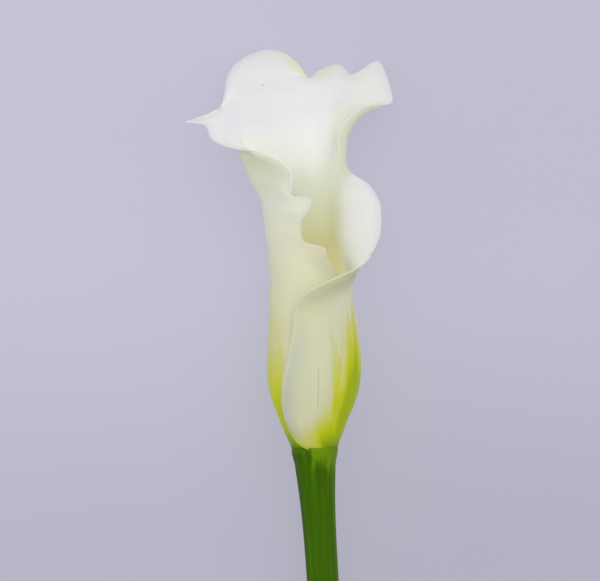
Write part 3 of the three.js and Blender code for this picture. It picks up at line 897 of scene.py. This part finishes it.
class CALLA_OT_spathe(Operator):
    """Rolled white leaf, open at the mouth"""

    bl_idname = "calla.spathe"
    bl_label = "Spathe"

    def execute(self, context):
        settings = context.scene.calla_spathe
        columns, rows = settings.columns, settings.rows
        bpy.ops.object.select_all(action="DESELECT")
        bpy.ops.mesh.primitive_grid_add(
            x_subdivisions=columns, y_subdivisions=rows, size=2, calc_uvs=True
        )
        leaf = context.object
        leaf.name = "spathe_leaf"
        flat = np.array([vertex.co for vertex in leaf.data.vertices])
        column = np.rint((flat[:, 0] + 1) / 2 * columns).astype(int)
        row = np.rint((flat[:, 1] + 1) / 2 * rows).astype(int)
        across = np.linspace(0, 1, columns + 1)
        along = np.linspace(0, 1, rows + 1)
        placed = (leaf_points(across, along)[row, column] + np.array(FOOT)) * MM
        leaf.data.vertices.foreach_set("co", placed.ravel())
        leaf.data.update()

        share = np.minimum(across[column], 1 - across[column])
        thick = settings.wall * (FOOT_WALL + (1 - FOOT_WALL) * ease(along[row] / FOOT_FADE))
        thick = settings.margin + (thick - settings.margin) * ease(share / MARGIN_FADE)
        thick *= 1 - (1 - APEX_WALL) * ease((along[row] - 1 + APEX_FADE) / APEX_FADE)
        group = leaf.vertex_groups.new(name="wall")
        for index, value in enumerate(thick / settings.wall):
            group.add([index], float(value), "REPLACE")
        middle = len(leaf.data.vertices)
        back = int(np.flatnonzero((row == 0) & (column == columns // 2))[0])
        select_only(leaf)
        shell = leaf.modifiers.new("Wall", "SOLIDIFY")
        shell.thickness = settings.wall
        shell.offset = 0.0
        shell.vertex_group = group.name
        shell.use_even_offset = False
        shell.use_quality_normals = True
        bpy.ops.object.modifier_apply(modifier=shell.name)
        settle(leaf)
        inner = self.mark_inside(leaf.data, middle, back)
        self.mark_sheltered(leaf.data, inner, row, column)
        leaf.data.materials.append(spathe_material(settings))
        hand_over(leaf, "spathe")
        return {"FINISHED"}

    def mark_inside(self, mesh, middle, back):
        """Attribute that is 1 on the inner skin; returns the number of that skin's first vertex."""
        if len(mesh.vertices) != 2 * middle:
            raise RuntimeError("the leaf has no second skin")
        axis = in_frame((TUBE_RINGS[0][1], 0.0, axis_height(0.0)))
        first, second = ((mesh.vertices[k + back].co - axis).length for k in (0, middle))
        inner = middle if first > second else 0
        values = np.zeros(2 * middle)
        values[inner : inner + middle] = 1.0
        store(mesh, "inside", values)
        return inner

    def mark_sheltered(self, mesh, inner, row, column):
        """Attribute with the share of the sky that the leaf hides from each place inside it."""
        tree = BVHTree.FromPolygons(
            [vertex.co for vertex in mesh.vertices], [face.vertices for face in mesh.polygons]
        )
        rows = np.arange(0, row.max() + 1, SKY_STEP)
        columns = np.arange(0, column.max() + 1, SKY_STEP)
        hidden = np.zeros((len(rows), len(columns)))
        at = {(r, c): k for k, (r, c) in enumerate(zip(row, column))}
        for i, r in enumerate(rows):
            for j, c in enumerate(columns):
                vertex = mesh.vertices[inner + at[r, c]]
                turn = Vector((0, 0, 1)).rotation_difference(vertex.normal)
                start = vertex.co + SKY_START * MM * vertex.normal
                for k in range(SKY_RAYS):
                    reach = math.sqrt((k + 0.5) / SKY_RAYS)
                    angle = k * GOLDEN_ANGLE
                    ray = (reach * math.cos(angle), reach * math.sin(angle), math.sqrt(1 - reach**2))
                    hit = tree.ray_cast(start, turn @ Vector(ray), SKY_REACH * MM)[0]
                    hidden[i, j] += hit is not None
        hidden = natural_spline(rows, hidden / SKY_RAYS, np.arange(row.max() + 1))
        hidden = natural_spline(columns, hidden.T, np.arange(column.max() + 1)).T
        values = np.zeros(len(mesh.vertices))
        values[inner : inner + len(row)] = np.clip(hidden[row, column], 0, 1)
        store(mesh, "sheltered", values)


class CALLA_OT_spadix(Operator):
    """Yellow spike inside the spathe, covered with small flowers"""

    bl_idname = "calla.spadix"
    bl_label = "Spadix"

    def execute(self, context):
        settings = context.scene.calla_spadix
        size = settings.floret / MM
        length = SPADIX_TO - SPADIX_FROM

        first = (SPADIX_BEND[1][0], SPADIX_FROM, axis_height(SPADIX_FROM))
        stations = [(first, CORE_RADIUS)]
        for k in range(1, CORE_STEPS + 1):
            share = math.sin(k / CORE_STEPS * math.pi / 2)
            y = SPADIX_FROM + (length - 0.6 * size) * share
            stations.append((on_axis(SPADIX_BEND, y), max(0.2, self.girth(share) - 0.6 * size)))
        core = draw_out("spadix_spike", CORE_SIDES, stations)

        bpy.ops.object.select_all(action="DESELECT")
        bpy.ops.mesh.primitive_uv_sphere_add(segments=8, ring_count=5, radius=size * MM)
        floret = context.object
        copies = []
        for k in range(settings.florets):
            share = (k + 0.5) / settings.florets
            reach = max(0.0, self.girth(share) - size * 0.85)
            angle = k * GOLDEN_ANGLE
            x, y, z = on_axis(SPADIX_BEND, SPADIX_FROM + 1.0 + (length - 1.6 * size) * share)
            copy = floret.copy()
            copy.data = floret.data.copy()
            copy.location = in_frame((x + reach * math.cos(angle), y, z + reach * math.sin(angle)))
            copy.rotation_euler = (0.0, -angle, 0.0)
            swell = 0.9 + 0.2 * ((k * GOLDEN_SHARE) % 1.0)
            copy.scale = (swell, swell * 0.92, swell * 0.92)
            context.collection.objects.link(copy)
            copies.append(copy)
        bpy.data.objects.remove(floret)
        select_only(core)
        for copy in copies:
            copy.select_set(True)
        bpy.ops.object.join()
        settle(core)
        core.data.materials.append(spadix_material())
        hand_over(core, "spadix")
        return {"FINISHED"}

    def girth(self, share):
        """Radius in mm at a share of the length: a waist at the foot, a taper and a round tip."""
        waist = 0.8 + 0.2 * float(ease(share / 0.12))
        taper = 1 - 0.22 * float(ease((share - 0.35) / 0.6))
        tip = math.sqrt(max(0.0, 1 - max(0.0, (share - 0.9) / 0.1) ** 2))
        return SPADIX_RADIUS * waist * taper * tip


class CALLA_OT_stage(Operator):
    """Pale surface, soft studio light and the camera above the flower"""

    bl_idname = "calla.stage"
    bl_label = "Stage"

    def execute(self, context):
        settings = context.scene.calla_stage
        bpy.ops.object.select_all(action="DESELECT")
        bpy.ops.mesh.primitive_plane_add(size=6, location=(0, 0, 0))
        floor = context.object
        floor.name = "surface"
        floor.data.materials.append(floor_material(settings))

        aim = in_frame(AIM)
        lamp = bpy.data.lights.new("key_light", "AREA")
        lamp.size = KEY_SIZE
        lamp.energy = settings.key_power
        key = self.place("key_light", lamp, aim + KEY_OFFSET)
        key.rotation_euler = (-KEY_OFFSET).to_track_quat("-Z", "Y").to_euler()

        world = bpy.data.worlds.new("soft room")
        world.use_nodes = True
        sky = world.node_tree.nodes["Background"]
        sky.inputs["Color"].default_value = (1.0, 0.99, 0.965, 1.0)
        sky.inputs["Strength"].default_value = settings.fill
        context.scene.world = world

        view = bpy.data.cameras.new("camera")
        view.sensor_width = SENSOR
        view.lens = SENSOR * settings.distance / VIEW_WIDTH
        view.clip_end = 20.0
        # a camera that isn't turned looks straight down
        context.scene.camera = self.place("camera", view, aim + Vector((0, 0, settings.distance)))
        context.scene.view_settings.view_transform = "Standard"
        return {"FINISHED"}

    def place(self, name, data, spot):
        """Puts a light or a camera in the scene."""
        holder = bpy.data.objects.new(name, data)
        holder.location = spot
        bpy.context.scene.collection.objects.link(holder)
        return holder


class CALLA_PT_panel(Panel):
    """Calla lily pieces, one button each"""

    bl_idname = "CALLA_PT_panel"
    bl_label = "Calla lily"
    bl_space_type = "VIEW_3D"
    bl_region_type = "UI"
    bl_category = "Calla lily"

    def draw(self, context):
        for piece in PIECES:
            box = self.layout.box()
            box.operator(f"calla.{piece}")
            settings = getattr(context.scene, f"calla_{piece}")
            for name in settings.bl_rna.properties.keys():
                if name not in {"rna_type", "name"}:
                    box.prop(settings, name)


PIECES = {
    "stem": StemSettings, "spathe": SpatheSettings, "spadix": SpadixSettings,
    "stage": StageSettings,
}
CLASSES = (
    *PIECES.values(), CALLA_OT_stem, CALLA_OT_spathe, CALLA_OT_spadix, CALLA_OT_stage,
    CALLA_PT_panel,
)


def register():
    for each in CLASSES:
        bpy.utils.register_class(each)
    for piece, group in PIECES.items():
        setattr(bpy.types.Scene, f"calla_{piece}", PointerProperty(type=group))


def unregister():
    for piece in PIECES:
        delattr(bpy.types.Scene, f"calla_{piece}")
    for each in reversed(CLASSES):
        bpy.utils.unregister_class(each)


def main():
    register()
    for piece in PIECES:
        getattr(bpy.ops.calla, piece)()


if __name__ == "__main__":
    main()
